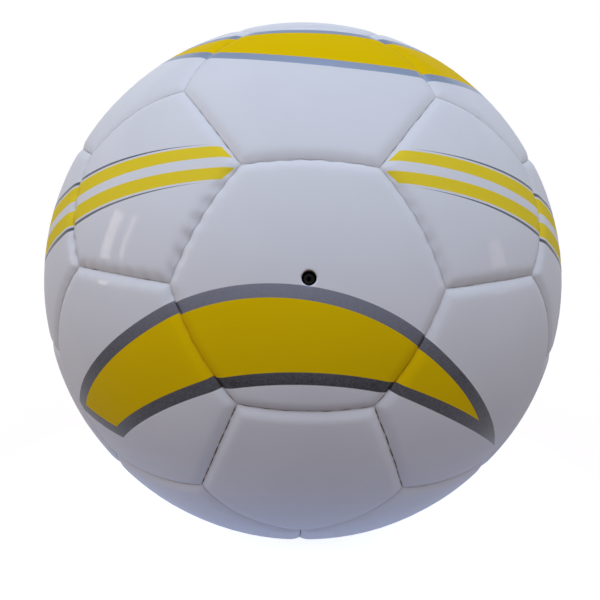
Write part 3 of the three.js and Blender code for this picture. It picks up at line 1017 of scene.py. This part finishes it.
# Studio: a plain matt floor in a room that the eye and reflections see as near white.
# A soft ceiling lights the ball from above and fades to its sides and its back. A pale light far
# behind is for the ball's back, and three window lamps stand low at its sides.
floor_reach = 8000
floor_glow = 0.86
floor_glow_colour = (1.0, 1.02, 1.07, 1.0)
painted_light_pool_radius = 92
painted_light_pool_edge = 150
room_light = (0.1, 0.09, 0.085, 1.0)
front_light = (0.35, 0.27, 0.22, 1.0)
behind_light = (2.0, 2.1, 2.25, 1.0)
backdrop_white = (1.0, 1.0, 1.0, 1.0)
ceiling_left = (1.58, 1.75, 2.09, 1.0)
ceiling_right = (1.55, 1.72, 2.07, 1.0)
lamp_distance = 1600
lamp_colour = "FFF0E4"


def seen_ray(tree):
    """1 on the rays that show a surface to the eye, straight, in a gloss or through something clear."""
    seen = add_node(tree, "LightPath", output="Is Camera Ray")
    for ray in ["Is Glossy Ray", "Is Transmission Ray"]:
        shown = add_node(tree, "LightPath", output=ray)
        seen = add_node(tree, "Math", [seen, shown], operation="MAXIMUM")
    return seen


def pale_floor():
    """Matt paint, paler and bluish under the ball as a painted pool of light, with an even glow that
    shows but doesn't hide the shadow.
    """
    material, tree, place = new_material("pale_floor_paint")
    glow = add_node(tree, "Math", [seen_ray(tree), floor_glow], operation="MULTIPLY")
    away = add_node(tree, "VectorMath", {"Vector": place, "Vector_001": (0.0, 0.0, foot_height * mm)},
                    output="Value", operation="DISTANCE")
    far = add_node(tree, "MapRange", {
        "Value": away, "From Min": painted_light_pool_radius * mm, "From Max": painted_light_pool_edge * mm},
        interpolation_type="SMOOTHSTEP")
    # Painted light: a pool of pale bluish paint under the ball, and brown paint beyond it.
    paint = add_node(tree, "Mix", [far, linear("C8D4F0"), linear("7B6961")], data_type="RGBA")
    surface = add_node(tree, "BsdfPrincipled", {
        "Base Color": paint, "Roughness": 0.9, "Specular IOR Level": 0.0,
        "Emission Color": floor_glow_colour, "Emission Strength": glow})
    add_node(tree, "OutputMaterial", [surface])
    return material


floor_corners = np.array([[x, y, foot_height / floor_reach] for x, y in
                          [(-1, -1), (1, -1), (1, 1), (-1, 1)]]) * floor_reach
floor = mesh_piece("floor", floor_corners, [(0, 1, 2, 3)], pale_floor())

world = bpy.data.worlds.new("soft_studio")
bpy.context.scene.world = world
world.use_nodes = True
world.node_tree.nodes.clear()
sky = world.node_tree
way = add_node(sky, "TexCoord", output="Generated")
side, depth, rise = (add_node(sky, "SeparateXYZ", [way], output=axis) for axis in "XYZ")
overhead = add_node(sky, "MapRange", {
    "Value": rise, "From Min": 0.47, "From Max": 0.5}, interpolation_type="SMOOTHSTEP")
fade_back = add_node(sky, "MapRange", {
    "Value": depth, "From Min": -0.3, "From Max": 0.5, "To Min": 1.0, "To Max": 0.2},
    interpolation_type="SMOOTHSTEP")
either_side = add_node(sky, "Math", [side], operation="ABSOLUTE")
fade_aside = add_node(sky, "MapRange", {
    "Value": either_side, "From Min": 0.3, "From Max": 0.85, "To Min": 1.0, "To Max": 0.55},
    interpolation_type="SMOOTHSTEP")
front = add_node(sky, "MapRange", {
    "Value": depth, "From Min": -0.4, "From Max": -0.9}, interpolation_type="SMOOTHSTEP")
behind = add_node(sky, "MapRange", {
    "Value": depth, "From Min": 0.8, "From Max": 0.95}, interpolation_type="SMOOTHSTEP")
rightward = add_node(sky, "MapRange", {"Value": side, "From Min": -1.0, "From Max": 1.0})
room = add_node(sky, "Mix", [front, room_light, front_light], data_type="RGBA")
room = add_node(sky, "Mix", [behind, room, behind_light], data_type="RGBA")
room = add_node(sky, "Mix", [seen_ray(sky), room, backdrop_white], data_type="RGBA")
ceiling = add_node(sky, "Mix", [rightward, ceiling_left, ceiling_right], data_type="RGBA")
for fade in [fade_back, fade_aside]:
    ceiling = add_node(sky, "VectorMath", {"Vector": ceiling, "Scale": fade}, operation="SCALE")
room = add_node(sky, "Mix", [overhead, room, ceiling], data_type="RGBA")
light = add_node(sky, "Background", {"Color": room, "Strength": 1.0})
add_node(sky, "OutputWorld", {"Surface": light})


def soft_lamp(name, turn, rise, width, height, power):
    """A rectangular lamp that faces the ball from a turn left of the front and a rise, in degrees."""
    lamp = bpy.data.lights.new(name, "AREA")
    lamp.shape = "RECTANGLE"
    lamp.size = width * mm
    lamp.size_y = height * mm
    lamp.energy = power
    lamp.color = linear(lamp_colour)[:3]
    lamp_object = bpy.data.objects.new(name, lamp)
    way = Vector(on_ball(front_turn - math.radians(turn), math.radians(rise)))
    lamp_object.location = way * lamp_distance * mm
    lamp_object.rotation_euler = way.to_track_quat("Z", "Y").to_euler()
    bpy.context.scene.collection.objects.link(lamp_object)


soft_lamp("left_window_wide", turn=88, rise=11.5, width=160, height=480, power=3.0)
soft_lamp("left_window_slim", turn=79.5, rise=14, width=48, height=420, power=0.9)
soft_lamp("right_window", turn=-85, rise=8, width=180, height=300, power=0.87)

# Camera: level with the upper part of the ball, a little to its left, close enough to round it.
# Turn, rise and roll are in degrees, and the focal length and the ball's place are in pixels.
camera_turn = 1.006
camera_rise = 11.77
camera_roll = 1.307
camera_distance = 300.8
picture_width = 600
sensor_width = 36
focal_pixels = 745.5
ball_in_picture = (302.8, 281.0)

camera_data = bpy.data.cameras.new("camera")
camera_data.sensor_width = sensor_width
camera_data.lens = focal_pixels / picture_width * sensor_width
camera_data.shift_x = (picture_width / 2 - ball_in_picture[0]) / picture_width
camera_data.shift_y = (ball_in_picture[1] - picture_width / 2) / picture_width
camera = bpy.data.objects.new("camera", camera_data)
back = Vector(on_ball(front_turn - math.radians(camera_turn), math.radians(camera_rise)))
roll = Matrix.Rotation(math.radians(camera_roll), 4, "Z")
camera.matrix_world = Matrix.Translation(back * camera_distance * mm) @ (
    back.to_track_quat("Z", "Y").to_matrix().to_4x4() @ roll)
bpy.context.scene.collection.objects.link(camera)
bpy.context.scene.camera = camera
bpy.context.scene.view_settings.view_transform = "Standard"
